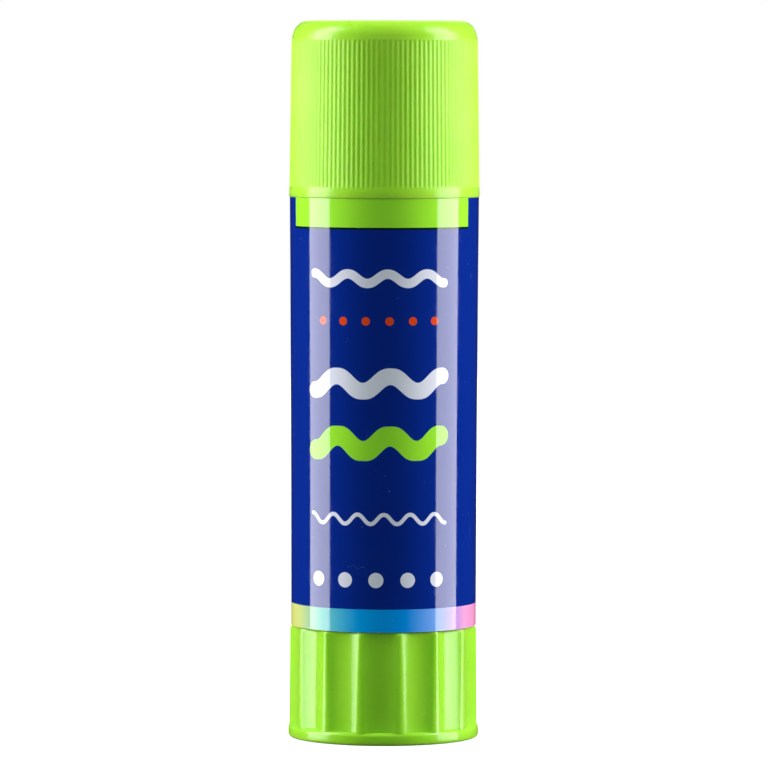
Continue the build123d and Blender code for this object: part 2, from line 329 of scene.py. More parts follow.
printing = {
    "blue": (6, 40, 140), "blueLift": 3,
    "green": (163, 240, 54),
    "white": (238, 236, 252),
    "red": (240, 78, 30),
    "panelLine": (4, 34, 26), "lineFrom": 0.36, "lineTo": 0.3,
    "panelFoot": 78.05, "panelLeft": -68.6, "panelRight": 61.6,
    "bandTop": 20.6,
    "footEdge": 0.03, "bandEdge": 0.04, "strokeEdge": 0.05, "sideEdge": 0.15,
    # azimuth in degrees and screen colour of the band, from the left of the front right round
    "band": [(-180, (252, 210, 120)), (-100, (246, 240, 112)), (-64, (212, 222, 134)), (-42, (112, 204, 188)),
             (-16, (0, 168, 250)), (14, (0, 154, 255)), (34, (124, 170, 250)), (46, (178, 150, 235)),
             (60, (240, 166, 218)), (84, (250, 150, 198)), (180, (252, 210, 120))],
    # waves: height, swing and thickness in millimetres, from and to azimuth, an odd number of bends, colour
    "waves": [
        {"height": 70.4, "swing": 0.7, "thick": 1.4, "from": -50, "to": 42, "bends": 7, "colour": "white"},
        {"height": 54.6, "swing": 1.1, "thick": 2.5, "from": -52, "to": 43, "bends": 5, "colour": "white"},
        {"height": 45.6, "swing": 1.1, "thick": 3.0, "from": -52, "to": 43, "bends": 5, "colour": "green"},
        {"height": 34.2, "swing": 0.7, "thick": 0.6, "from": -50, "to": 42, "bends": 11, "colour": "white"},
    ],
    "dots": [
        {"height": 25.0, "size": 2.3, "spacing": 4.9, "from": -44, "to": 36, "colour": "white"},
        {"height": 64.0, "size": 1.3, "spacing": 3.6, "from": -40, "to": 32, "colour": "red"},
    ],
    "radius": 14.3,
}
filmFinish = {
    "cloud": {"scale": 160.0},
    "scuffs": {"scale": 620.0, "stretch": (1, 1, 0.5), "turned": (35, -20, 10), "width": 0.008, "amount": 0.30},
    "scuffsShare": 0.14, "scuffsColour": (190, 205, 230), "scuffsRoughness": 0.2, "scuffsBump": (-0.2, 0.00001),
    "dust": {"scale": 2300.0, "detail": 0.0}, "dustRange": (0.88, 0.91),
    "dustShare": 0.2, "dustColour": (214, 220, 236),
    "rub": {"scale": 300.0, "detail": 3.0}, "rubRange": (0.3, 0.75), "roughness": (0.05, 0.11),
    "puckers": {"scale": 150.0, "detail": 1.0, "stretch": (1, 1, 0.25)}, "puckersBump": (0.3, 0.00003),
    "fine": {"scale": 1500.0}, "fineBump": (0.12, 0.000006),
    "ior": 1.48,
}


def strokeMask(tree, distance, half):
    return stepDown(tree, distance, half, printing["strokeEdge"])


def farness(tree, across, above):
    squares = [calc(tree, "MULTIPLY", side, side) for side in (across, above)]
    return calc(tree, "SQRT", calc(tree, "ADD", *squares))


def waveMask(tree, around, up, wave):
    # even-width wavy stroke with round ends
    perDegree = printing["radius"] * pi / 180
    middle = (wave["from"] + wave["to"]) / 2 * perDegree
    half = (wave["to"] - wave["from"]) / 2 * perDegree - wave["thick"] / 2
    along = calc(tree, "SUBTRACT", calc(tree, "MULTIPLY", around, perDegree), middle)
    bounded = calc(tree, "MAXIMUM", calc(tree, "MINIMUM", along, half), -half)
    rate = wave["bends"] * pi / 2 / half
    turns = calc(tree, "MULTIPLY", bounded, rate)
    centre = calc(tree, "ADD", calc(tree, "MULTIPLY", calc(tree, "SINE", turns), wave["swing"]), wave["height"])
    slope = calc(tree, "MULTIPLY", calc(tree, "COSINE", turns), wave["swing"] * rate)
    steep = calc(tree, "SQRT", calc(tree, "ADD", calc(tree, "MULTIPLY", slope, slope), 1.0))
    away = calc(tree, "DIVIDE", calc(tree, "SUBTRACT", up, centre), steep)
    past = calc(tree, "SUBTRACT", along, bounded)
    return strokeMask(tree, farness(tree, past, away), wave["thick"] / 2)


def dotMask(tree, around, up, dots):
    # a row of round dots, evenly spaced
    perDegree = printing["radius"] * pi / 180
    first, last = dots["from"] * perDegree, dots["to"] * perDegree
    shifted = calc(tree, "SUBTRACT", calc(tree, "MULTIPLY", around, perDegree), first)
    count = round((last - first) / dots["spacing"])
    index = calc(tree, "ROUND", calc(tree, "DIVIDE", shifted, dots["spacing"]))
    index = calc(tree, "MAXIMUM", calc(tree, "MINIMUM", index, float(count)), 0.0)
    across = calc(tree, "SUBTRACT", shifted, calc(tree, "MULTIPLY", index, dots["spacing"]))
    above = calc(tree, "SUBTRACT", up, dots["height"])
    return strokeMask(tree, farness(tree, across, above), dots["size"] / 2)


def bandColour(tree, around):
    ramp = tree.nodes.new("ShaderNodeValToRGB")
    tree.links.new(ramped(tree, around, -180.0, 180.0, smooth=False), ramp.inputs["Fac"])
    stops = printing["band"]
    elements = ramp.color_ramp.elements
    elements[0].position, elements[0].color = 0.0, linear(*stops[0][1])
    elements[1].position, elements[1].color = 1.0, linear(*stops[-1][1])
    for azimuth, stopColour in stops[1:-1]:
        elements.new((azimuth + 180) / fullTurn).color = linear(*stopColour)
    return ramp.outputs["Color"]


def printColour(tree, around, up):
    ink = printing
    lifted = [c + ink["blueLift"] for c in ink["blue"]]
    colour = mixed(tree, noise(tree, **filmFinish["cloud"]), linear(*ink["blue"]), linear(*lifted))
    for wave in ink["waves"]:
        colour = mixed(tree, waveMask(tree, around, up, wave), colour, linear(*ink[wave["colour"]]))
    for dots in ink["dots"]:
        colour = mixed(tree, dotMask(tree, around, up, dots), colour, linear(*ink[dots["colour"]]))
    # rainbow band at the foot
    inBand = stepDown(tree, up, ink["bandTop"], ink["bandEdge"])
    colour = mixed(tree, inBand, colour, bandColour(tree, around))
    # green panel at the top of the front, with a thin dark line along its foot
    left = stepUp(tree, around, ink["panelLeft"], ink["sideEdge"])
    right = stepDown(tree, around, ink["panelRight"], ink["sideEdge"])
    sides = calc(tree, "MULTIPLY", left, right)
    foot = ink["panelFoot"]
    overLine = ramped(tree, up, foot - ink["lineFrom"], foot - ink["lineTo"])
    overFoot = stepUp(tree, up, foot, ink["footEdge"])
    colour = mixed(tree, calc(tree, "MULTIPLY", sides, overLine), colour, linear(*ink["panelLine"]))
    return mixed(tree, calc(tree, "MULTIPLY", sides, overFoot), colour, linear(*ink["green"]))


def makeLabelFilm():
    film = filmFinish
    material, tree, shader = newMaterial("label_film")
    colour = printColour(tree, *aroundAndUp(tree))
    # handling marks: scuffs that lighten the film, and dust
    scuffs = scratches(tree, **film["scuffs"])
    share = calc(tree, "MULTIPLY", scuffs, film["scuffsShare"])
    colour = mixed(tree, share, colour, linear(*film["scuffsColour"]))
    dust = ramped(tree, noise(tree, **film["dust"]), *film["dustRange"])
    colour = mixed(tree, calc(tree, "MULTIPLY", dust, film["dustShare"]), colour, linear(*film["dustColour"]))
    tree.links.new(colour, shader.inputs["Base Color"])
    rub = ramped(tree, noise(tree, **film["rub"]), *film["rubRange"], *film["roughness"])
    rough = calc(tree, "ADD", rub, calc(tree, "MULTIPLY", scuffs, film["scuffsRoughness"]))
    tree.links.new(rough, shader.inputs["Roughness"])
    # film stretched over the barrel: faint long puckers, finer ones, and the scuffs
    normal = bumped(tree, noise(tree, **film["puckers"]), film["puckersBump"])
    normal = bumped(tree, noise(tree, **film["fine"]), film["fineBump"], normal)
    normal = bumped(tree, scuffs, film["scuffsBump"], normal)
    tree.links.new(normal, shader.inputs["Normal"])
    setSockets(shader, IOR=film["ior"])
    return material


# White plastics of the barrel and the inner pieces, and the glue

barrelFinish = {
    "cloud": {"scale": 90.0, "detail": 3.0}, "colour": (208, 211, 210), "worn": (218, 219, 217),
    "rub": {"scale": 500.0, "detail": 3.0}, "rubRange": (0.3, 0.7), "roughness": (0.28, 0.4),
    "relief": {"scale": 700.0, "stretch": (1, 1, 0.15)}, "reliefBump": (0.2, 0.00002),
    "ior": 1.49, "glow": 0.15, "glowDepth": 0.002, "glowColour": (1.0, 0.9, 0.8),
}
innerFinish = {
    "cloud": {"scale": 140.0, "detail": 3.0}, "colour": (210, 209, 201), "worn": (222, 221, 214),
    "rub": {"scale": 800.0}, "rubRange": (0.3, 0.7), "roughness": (0.32, 0.46),
    "relief": {"scale": 3200.0}, "reliefBump": (0.15, 0.00001),
    "ior": 1.49,
}
glueFinish = {
    "cloud": {"scale": 240.0, "detail": 4.0}, "cloudRange": (0.3, 0.7),
    "colour": (224, 222, 213), "worn": (232, 230, 223),
    "rubRange": (0.35, 0.7), "roughness": (0.32, 0.55),
    "drag": {"scale": 1500.0, "detail": 3.0, "stretch": (0.12, 1, 0.3), "turned": (0, 0, 28)},
    "dragBump": (0.35, 0.00006),
    "soft": {"scale": 420.0}, "softBump": (0.5, 0.00012),
    "ior": 1.45, "glow": 0.35, "glowDepth": 0.003, "glowColour": (1.0, 0.95, 0.85),
}


def makeWhitePlastic(name, finish):
    material, tree, shader = newMaterial(name)
    cloud = noise(tree, **finish["cloud"])
    colour = mixed(tree, cloud, linear(*finish["colour"]), linear(*finish["worn"]))
    tree.links.new(colour, shader.inputs["Base Color"])
    rough = ramped(tree, noise(tree, **finish["rub"]), *finish["rubRange"], *finish["roughness"])
    tree.links.new(rough, shader.inputs["Roughness"])
    normal = bumped(tree, noise(tree, **finish["relief"]), finish["reliefBump"])
    tree.links.new(normal, shader.inputs["Normal"])
    setSockets(shader, IOR=finish["ior"])
    if "glow" in finish:
        setGlow(shader, finish)
    return material


def makeGlue():
    wax = glueFinish
    material, tree, shader = newMaterial("glue")
    cloud = noise(tree, **wax["cloud"])
    colour = mixed(tree, ramped(tree, cloud, *wax["cloudRange"]), linear(*wax["colour"]), linear(*wax["worn"]))
    tree.links.new(colour, shader.inputs["Base Color"])
    tree.links.new(ramped(tree, cloud, *wax["rubRange"], *wax["roughness"]), shader.inputs["Roughness"])
    # drag marks from use run one way over the worn top, under a soft waxy unevenness
    normal = bumped(tree, noise(tree, **wax["drag"]), wax["dragBump"])
    normal = bumped(tree, noise(tree, **wax["soft"]), wax["softBump"], normal)
    tree.links.new(normal, shader.inputs["Normal"])
    setSockets(shader, IOR=wax["ior"])
    setGlow(shader, wax)
    return material


capPlastic = makeLimePlastic("cap_plastic", capFinish)
knobShadedPlastic = makeLimePlastic("knob_plastic", knobShadedFinish)
labelFilm = makeLabelFilm()
barrelPlastic = makeWhitePlastic("barrel_plastic", barrelFinish)
innerPlastic = makeWhitePlastic("inner_plastic", innerFinish)
glueWax = makeGlue()
print("materials made")


# Cap: ribbed skirt between a smooth rim and a rounded crown

cap = {
    "foot": 82.4, "top": 109.1,
    "rimRadius": 14.5, "rimTop": 83.55, "rimRound": 0.12,
    "rimSteps": [(-0.2, 0.0), (0.0, 0.008), (0.15, 0.03)],  # rise above the rim's top, and how far in
    "ribs": 120, "stepsPerRib": 12, "ribDepth": 0.075,
    "ribFoot": 83.9, "ribHead": 106.25, "runOut": 0.5, "runOutPast": 0.1, "ribClear": 0.3, "outsideFrom": 13.8,
    "crestLow": 14.45, "crestMiddle": 14.30, "crestHigh": 14.16,
    # rises above the ribs' foot: close together where the ribs fade out
    "levels": (0.0, 0.07, 0.14, 0.22, 0.3, 0.38, 0.46, 0.55, 2.5, 6.5, 11.0, 15.5, 19.5,
               21.8, 21.95, 22.05, 22.15, 22.25, 22.35),
    "crownRadius": 14.06, "crownWidth": 2.4, "crownHeight": 2.8, "crownSteps": 18,
    # flat of the crown: radius, and depth below the top
    "gate": [(8.0, 0.02), (3.0, 0.03), (1.75, 0.03), (1.5, 0.06), (1.3, 0.18), (0.6, 0.18),
             (0.35, 0.02), (0.0, 0.0)],
    "bore": 13.35, "wallTop": 1.5, "mouthLead": 0.3, "mouthRound": 0.2, "insideRound": 0.9,
}


def capCrest(height):
    middle = (cap["ribFoot"] + cap["ribHead"]) / 2
    if height < middle:
        t = max(0.0, (height - cap["ribFoot"]) / (middle - cap["ribFoot"]))
        return cap["crestLow"] + (cap["crestMiddle"] - cap["crestLow"]) * t
    t = min(1.0, (height - middle) / (cap["ribHead"] - middle))
    return cap["crestMiddle"] + (cap["crestHigh"] - cap["crestMiddle"]) * t


def capRule(radius, angle, height):
    # the outline runs along the crests, and soft valleys sink into it and fade out at both ends
    foot, head, past = cap["ribFoot"], cap["ribHead"], cap["runOutPast"]
    if radius < cap["outsideFrom"] or height < cap["rimTop"] or height > head + cap["ribClear"]:
        return radius
    fromCrest = ((angle * cap["ribs"] / fullTurn) % 1.0 - 0.5) * 2
    valley = cap["ribDepth"] * (1 - cos(pi * fromCrest)) / 2
    lowBlend = smoothStep(foot - past, foot + cap["runOut"], height)
    highBlend = 1 - smoothStep(head - cap["runOut"], head + past, height)
    return radius - valley * lowBlend * highBlend


def makeCap():
    c = cap
    top, crownWidth, crownHeight = c["top"], c["crownWidth"], c["crownHeight"]
    insideTop = top - c["wallTop"]
    mouth = (c["bore"] + c["mouthLead"], c["foot"])
    rim = c["rimRadius"]
    rimSide = [(rim - inset, c["rimTop"] + rise) for rise, inset in c["rimSteps"]]
    points = roundedOutline([mouth, (rim, c["foot"], c["rimRound"])] + rimSide, closed=False)
    for rise in c["levels"]:
        height = c["ribFoot"] + rise
        points.append(Vector((capCrest(height), height)))
    # quarter ellipse of the shoulder
    for k in range(1, c["crownSteps"] + 1):
        turn = radians(90 * k / c["crownSteps"])
        across = c["crownRadius"] - crownWidth * (1 - cos(turn))
        points.append(Vector((across, top - crownHeight + crownHeight * sin(turn))))
    # flat of the crown, with the gate mark in its middle
    points += [Vector((radius, top - depth)) for radius, depth in c["gate"]]
    points += roundedOutline([
        (0.0, insideTop), (c["bore"], insideTop, c["insideRound"]),
        (c["bore"], c["foot"] + c["mouthLead"], c["mouthRound"]), mouth], closed=False)[:-1]
    bm = bmesh.new()
    spinOutline(bm, points, c["ribs"] * c["stepsPerRib"])
    tidyMesh(bm)
    shapeRadius(bm, capRule)
    finishPiece(bm, "ribbed_cap", "cap", capPlastic, "cap")


makeCap()
print("cap made")


# Knob: standing flange, finger flutes, cup with a snap ring, boss with a square socket

knob = {
    "height": 17.0,
    "flangeRadius": 14.5, "flangeTop": 1.9, "flangeRound": 0.55, "flangeSide": 1.15, "flangeFade": 5.0,
    "footRound": 0.45, "standRound": 0.35, "recessRadius": 12.4, "recess": 0.8, "recessRound": 0.3,
    "flutes": 15, "fluteAngle": -92.0, "scoop": 9.0, "fluteFoot": 2.0, "fluteRise": 15.0,
    "crestLow": 14.36, "crestHigh": 14.27, "ridgeLow": 1.8, "ridgeHigh": 0.8,
    "steps": 720, "blend": 0.28, "outsideFrom": 13.0, "rulesFrom": 1.2, "lipFrom": 16.7, "lip": 0.16,
    # heights of the outline up the outside: close together where the flutes leave the flange and at the lip
    "wall": 14.0,
    "levels": (1.3, 1.42, 1.52, 1.6, 1.67, 1.73, 1.78, 1.82, 1.86, 1.89, 1.92, 1.96, 2.0, 2.05, 2.1, 2.16, 2.23,
               2.32, 2.45, 2.65, 3.0, 3.8, 5.5, 8.0, 10.5, 13.0, 15.0, 16.2, 16.6, 16.75, 16.86, 16.94, 17.0),
    "bore": 12.46, "mouthRound": 0.15, "floor": 2.6, "floorRound": 0.6,
    "ring": 12.04, "ringFoot": 12.2, "ringTop": 13.4, "ringRound": 0.12,
    "ringLeadAbove": 0.42, "ringLeadBelow": 0.3, "leadRound": 0.1,
    "bossRadius": 4.4, "bossTop": 9.0, "bossFootRound": 0.5, "bossTopRound": 0.25,
    "socket": 2.43, "socketFoot": 3.4, "socketFrom": 0.1, "socketTo": 3.3, "socketMargin": 0.1,
}


def fluteRadius(angle, height):
    # scoop arcs and ridge arcs that run into each other, with sharper ridges towards the top
    t = min(1.0, max(0.0, (height - knob["fluteFoot"]) / knob["fluteRise"]))
    ridge = knob["ridgeLow"] + (knob["ridgeHigh"] - knob["ridgeLow"]) * t
    inner = knob["crestLow"] + (knob["crestHigh"] - knob["crestLow"]) * t - ridge
    scoop, half = knob["scoop"], pi / knob["flutes"]
    away = inner * cos(half) + sqrt((scoop + ridge) ** 2 - (inner * sin(half)) ** 2)
    share = scoop / (scoop + ridge)
    meetAngle = atan2(share * inner * sin(half), away + share * (inner * cos(half) - away))
    theta = abs((radians(angle - knob["fluteAngle"]) + half) % (2 * half) - half)
    if theta < meetAngle:
        return away * cos(theta) - sqrt(scoop ** 2 - (away * sin(theta)) ** 2)
    turn = half - theta
    return inner * cos(turn) + sqrt(ridge ** 2 - (inner * sin(turn)) ** 2)


def knobRule(radius, angle, height):
    k = knob
    # the round hole of the outline becomes the square socket
    inSocket = k["socketFrom"] < radius < k["socketTo"]
    if inSocket and k["socketFoot"] - k["socketMargin"] < height < k["bossTop"] + k["socketMargin"]:
        return radius / max(abs(cos(radians(angle))), abs(sin(radians(angle))))
    if radius < k["outsideFrom"] or height < k["rulesFrom"]:
        return radius
    # below the flange's top corner the outline itself is kept, above it the flutes come out of it
    flangeTop, flangeRound, blend = k["flangeTop"], k["flangeRound"], k["blend"]
    corner = flangeTop - flangeRound
    if height <= flangeTop:
        across = sqrt(max(0.0, flangeRound ** 2 - (height - corner) ** 2)) if height > corner else flangeRound
        flange = k["flangeRadius"] - flangeRound + across
    else:
        flange = k["flangeRadius"] - flangeRound - k["flangeFade"] * (height - flangeTop)
    body = fluteRadius(angle, height)
    wall = smoothMax(body, flange, blend) - blend / 2 * exp(-abs(body - flange) / blend)
    lip = smoothStep(k["lipFrom"], k["height"], height) * k["lip"]
    return min(k["flangeRadius"], wall) - lip


def makeKnob():
    k = knob
    points = roundedOutline([
        (0.0, k["socketFoot"]), (0.0, k["recess"]), (k["recessRadius"], k["recess"], k["recessRound"]),
        (k["recessRadius"], 0.0, k["standRound"]), (k["flangeRadius"], 0.0, k["footRound"]),
        (k["flangeRadius"], k["flangeSide"])], closed=False)
    points += [Vector((k["wall"], height)) for height in k["levels"]]
    points += roundedOutline([
        (k["wall"], k["height"]), (k["bore"], k["height"], k["mouthRound"]),
        (k["bore"], k["ringTop"] + k["ringLeadAbove"], k["leadRound"]), (k["ring"], k["ringTop"], k["ringRound"]),
        (k["ring"], k["ringFoot"], k["ringRound"]), (k["bore"], k["ringFoot"] - k["ringLeadBelow"], k["leadRound"]),
        (k["bore"], k["floor"], k["floorRound"]), (k["bossRadius"], k["floor"], k["bossFootRound"]),
        (k["bossRadius"], k["bossTop"], k["bossTopRound"]), (k["socket"], k["bossTop"]),
        (k["socket"], k["socketFoot"]), (0.0, k["socketFoot"])], closed=False)[1:-1]
    bm = bmesh.new()
    spinOutline(bm, points, k["steps"], start=k["fluteAngle"])
    tidyMesh(bm)
    shapeRadius(bm, knobRule)
    finishPiece(bm, "fluted_knob", "knob", knobShadedPlastic, "knob")


makeKnob()
print("knob made")


# Barrel and label: slight flare towards the cap

barrel = {
    "foot": 17.1, "ledge": 82.4, "neckRim": 96.4, "wall": 1.05, "steps": 192,
    # height and radius up the outside
    "flare": [(17.1, 13.985), (24.0, 13.99), (36.0, 14.01), (47.5, 14.045), (60.0, 14.12), (72.0, 14.18),
              (78.0, 14.235), (82.4, 14.265)],
    "flareRound": 0.03,
    "mainBore": 13.0, "boreSlope": 1.0, "boreRound": 0.4,
    "neck": 13.1, "neckBore": 12.0, "ledgeRound": 0.3, "neckRound": 0.5, "neckBoreRound": 0.35,
    "bead": 13.27, "beadFoot": 84.6, "beadTop": 86.2, "beadSlope": 0.35, "beadRound": 0.2,
    "spigot": 11.85, "spigotBore": 10.75, "spigotFoot": 10.1, "spigotBoreRound": 0.25,
    "snapBead": 12.2, "snapBeadTop": 11.6, "snapLeadRound": 0.35, "snapRound": 0.12,
    "webLow": 18.7, "webHigh": 20.1, "webHole": 3.88, "webRound": 0.5, "webHoleRound": 0.2, "webUnderRound": 0.4,
    "ribs": 4, "ribAngle": 45, "ribTip": 12.0, "ribWidth": 1.2,
    "keys": 2, "keyTip": 11.3, "keyWidth": 1.6, "keyBelowNeck": 0.8, "keyIntoNeck": 1.2, "keyBelowRim": 1.0,
    "ribRoot": 0.4, "ribSunk": 0.3, "ribEdge": 0.18,
}
labelWrap = {
    "gap": 0.03, "film": 0.1, "foot": 17.13, "top": 82.37, "steps": 288, "sharpAngle": 50,
    "overlapStart": 82.0, "overlap": 16.0, "overlapSteps": 16,
}


def barrelRadius(height):
    flare = barrel["flare"]
    for (lowZ, lowR), (highZ, highR) in zip(flare, flare[1:]):
        if height <= highZ:
            return lowR + (highR - lowR) * (height - lowZ) / (highZ - lowZ)
    return flare[-1][1]


def addRib(bm, tip, root, width, low, high, angle):
    verts = bmesh.ops.create_cube(bm, size=1.0)["verts"]
    bmesh.ops.scale(bm, vec=((root - tip) * mm, width * mm, (high - low) * mm), verts=verts)
    bmesh.ops.translate(bm, vec=((root + tip) / 2 * mm, 0, (high + low) / 2 * mm), verts=verts)
    bmesh.ops.rotate(bm, cent=(0, 0, 0), matrix=Matrix.Rotation(radians(angle), 3, "Z"), verts=verts)
    edges = list({e for v in verts for e in v.link_edges})
    bmesh.ops.bevel(bm, geom=edges, offset=barrel["ribEdge"] * mm, segments=2, affect="EDGES",
                    profile=0.5, material=-1)


def addBarrelRibs(bm):
    # guide ribs centre the carrier in the wide bore, and key ribs stop it from turning and run on into the neck
    b = barrel
    ribFoot, boreTop = b["webHigh"] - b["ribSunk"], b["ledge"] - b["wall"]
    neckFoot, neckTop = boreTop - b["keyIntoNeck"], b["neckRim"] - b["keyBelowRim"]
    root, neckRoot = b["mainBore"] + b["ribRoot"], b["neckBore"] + b["ribRoot"]
    for k in range(b["ribs"]):
        addRib(bm, b["ribTip"], root, b["ribWidth"], ribFoot, boreTop, b["ribAngle"] + fullTurn / b["ribs"] * k)
    for k in range(b["keys"]):
        angle = fullTurn / b["keys"] * k
        addRib(bm, b["keyTip"], root, b["keyWidth"], ribFoot, boreTop - b["keyBelowNeck"], angle)
        addRib(bm, b["keyTip"], neckRoot, b["keyWidth"], neckFoot, neckTop, angle)


def makeBarrel():
    b = barrel
    wall = [(radius, height) for height, radius in b["flare"]]
    wall[0] += (b["flareRound"],)
    wall[-1] += (b["flareRound"],)
    boreTop = b["ledge"] - b["wall"]
    spigot = [
        (b["spigotBore"], b["spigotFoot"], b["spigotBoreRound"]),
        (b["snapBead"], b["spigotFoot"], b["snapLeadRound"]), (b["snapBead"], b["snapBeadTop"], b["snapRound"]),
        (b["spigot"], b["snapBeadTop"]), (b["spigot"], b["foot"])]
    neck = [
        (b["neck"], b["ledge"], b["ledgeRound"]), (b["neck"], b["beadFoot"] - b["beadSlope"], b["beadRound"]),
        (b["bead"], b["beadFoot"], b["beadRound"]), (b["bead"], b["beadTop"], b["beadRound"]),
        (b["neck"], b["beadTop"] + b["beadSlope"], b["beadRound"]), (b["neck"], b["neckRim"], b["neckRound"])]
    inside = [
        (b["neckBore"], b["neckRim"], b["neckBoreRound"]), (b["neckBore"], boreTop, b["boreRound"]),
        (b["mainBore"], boreTop - b["boreSlope"], b["boreRound"]), (b["mainBore"], b["webHigh"], b["webRound"]),
        (b["webHole"], b["webHigh"], b["webHoleRound"]), (b["webHole"], b["webLow"], b["webHoleRound"]),
        (b["spigotBore"], b["webLow"], b["webUnderRound"])]
    bm = bmesh.new()
    spinOutline(bm, roundedOutline(spigot + wall + neck + inside), b["steps"])
    tidyMesh(bm)
    addBarrelRibs(bm)
    finishPiece(bm, "flared_barrel", "barrel", barrelPlastic, "barrel")


def filmOutline(under, over):
    # the film follows the barrel's flare from its foot to its top
    heights = [labelWrap["foot"]] + [height for height, radius in barrel["flare"][1:-1]] + [labelWrap["top"]]
    inner = [(barrelRadius(z) + under, z) for z in heights]
    outer = [(barrelRadius(z) + over, z) for z in reversed(heights)]
    return [Vector(p) for p in inner + outer]


def makeLabel():
    w = labelWrap
    gap, film, start = w["gap"], w["film"], w["overlapStart"]
    bm = bmesh.new()
    spinOutline(bm, filmOutline(gap, gap + film), w["steps"], start=start)
    tidyMesh(bm)
    # glued overlap: the film's end lies over its start, at the middle of the back
    strip = bmesh.new()
    spinOutline(strip, filmOutline(gap + film, gap + 2 * film), w["overlapSteps"], start=start, sweep=w["overlap"])
    tidyMesh(strip)
    bmesh.ops.holes_fill(strip, edges=[e for e in strip.edges if e.is_boundary], sides=0)
    bmesh.ops.recalc_face_normals(strip, faces=strip.faces)
    joinInto(bm, strip)
    finishPiece(bm, "printed_label", "barrel", labelFilm, "label", w["sharpAngle"])


makeBarrel()
makeLabel()
print("barrel and label made")


# Spindle: square key, journal, collar and a coarse left-hand thread

spindle = {
    "keyWidth": 4.8, "keyFoot": 3.45, "keySunk": 0.4, "journal": 3.8, "foot": 9.0, "footRound": 0.2, "steps": 64,
    "collar": 5.6, "collarFoot": 20.1, "collarTop": 21.3, "collarFootRound": 0.2, "collarTopRound": 0.3,
    "core": 2.35, "coreFootRound": 0.4, "tip": 92.0, "tipRound": 0.8,
    "thread": 3.0, "lead": 5.0, "flankLow": 1.5, "flankHigh": 0.8, "crestEdge": 0.12, "threadSunk": 0.15,
    "stepsPerTurn": 40, "aboveCollar": 1.2, "belowTip": 1.8,
    # where the thread grows out of the core, from and to, counted up from its foot and down from the tip
    "footFade": (-0.6, 0.9), "tipFade": (3.0, 1.4),
}


def makeThread():
    # one trapezoid wire, spun round and lifted, left-handed
    s = spindle
    thread = bmesh.new()
    low, high, edge = s["flankLow"] / 2, s["flankHigh"] / 2, s["crestEdge"]
    root = s["core"] - s["threadSunk"]
    foot = s["collarTop"] + s["aboveCollar"]
    rise = s["tip"] - s["belowTip"] - foot
    turns = rise / s["lead"]
    steps = round(turns * s["stepsPerTurn"])
    crest = s["thread"]
    corners = [(root, -low), (crest - edge, -high), (crest, -high + edge),
               (crest, high - edge), (crest - edge, high), (root, low)]
    face = thread.faces.new([thread.verts.new((radius * mm, 0, (foot + z) * mm)) for radius, z in corners])
    bmesh.ops.spin(thread, geom=[face], cent=(0, 0, 0), axis=(0, 0, 1), dvec=(0, 0, rise * mm / steps),
                   angle=-2 * pi * turns, steps=steps, use_merge=False)
    # both ends of the thread fade into the core
    (footFrom, footTo), (tipFrom, tipTo) = s["footFade"], s["tipFade"]
    for vert in thread.verts:
        radius = vert.co.xy.length / mm
        along = vert.co.z / mm
        fade = smoothStep(foot + footFrom, foot + footTo, along)
        fade *= 1 - smoothStep(s["tip"] - tipFrom, s["tip"] - tipTo, along)
        setRadius(vert, radius, root + (radius - root) * fade)
    bmesh.ops.recalc_face_normals(thread, faces=thread.faces)
    return thread


def makeSpindle():
    s = spindle
    bm = bmesh.new()
    points = roundedOutline([
        (0.0, s["foot"]), (s["journal"], s["foot"], s["footRound"]), (s["journal"], s["collarFoot"]),
        (s["collar"], s["collarFoot"], s["collarFootRound"]), (s["collar"], s["collarTop"], s["collarTopRound"]),
        (s["core"], s["collarTop"], s["coreFootRound"]), (s["core"], s["tip"], s["tipRound"]), (0.0, s["tip"])],
        closed=False)
    spinOutline(bm, points, s["steps"], closed=False)
    key = bmesh.ops.create_cube(bm, size=1.0)["verts"]
    keyHeight = s["foot"] + s["keySunk"] - s["keyFoot"]
    bmesh.ops.scale(bm, vec=(s["keyWidth"] * mm, s["keyWidth"] * mm, keyHeight * mm), verts=key)
    bmesh.ops.translate(bm, vec=(0, 0, (s["keyFoot"] + keyHeight / 2) * mm), verts=key)
    tidyMesh(bm)
    joinInto(bm, makeThread())
    finishPiece(bm, "threaded_spindle", "knob", innerPlastic, "spindle")


makeSpindle()
print("spindle made")


# Carrier: keeps its CAD shape

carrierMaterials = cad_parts["carrier"].data.materials
carrierMaterials.clear()
carrierMaterials.append(innerPlastic)


# Glue: part-used column with a soft worn top

glue = {
    "radius": 11.0, "foot": 65.9, "top": 95.9, "footRound": 0.2, "steps": 128, "spacing": 1.2, "mostParts": 12,
    "hole": 3.4, "holeRound": 0.5, "recess": 5.1, "recessTop": 71.0,
    "edge": 1.6, "dome": 0.7, "domeRadius": 7.5, "domeDrop": 0.12, "domeRound": 2.0,
    # wear reaches from so far below the top to so far below it, and leans to one side
    "wearFrom": 3.5, "wearTo": 0.8, "lean": 0.35, "leanAngle": 0.6,
    "ripple": 0.06, "ripples": 3, "rippleAngle": 1.0, "ring": 0.05, "ringRate": 1.3,
}


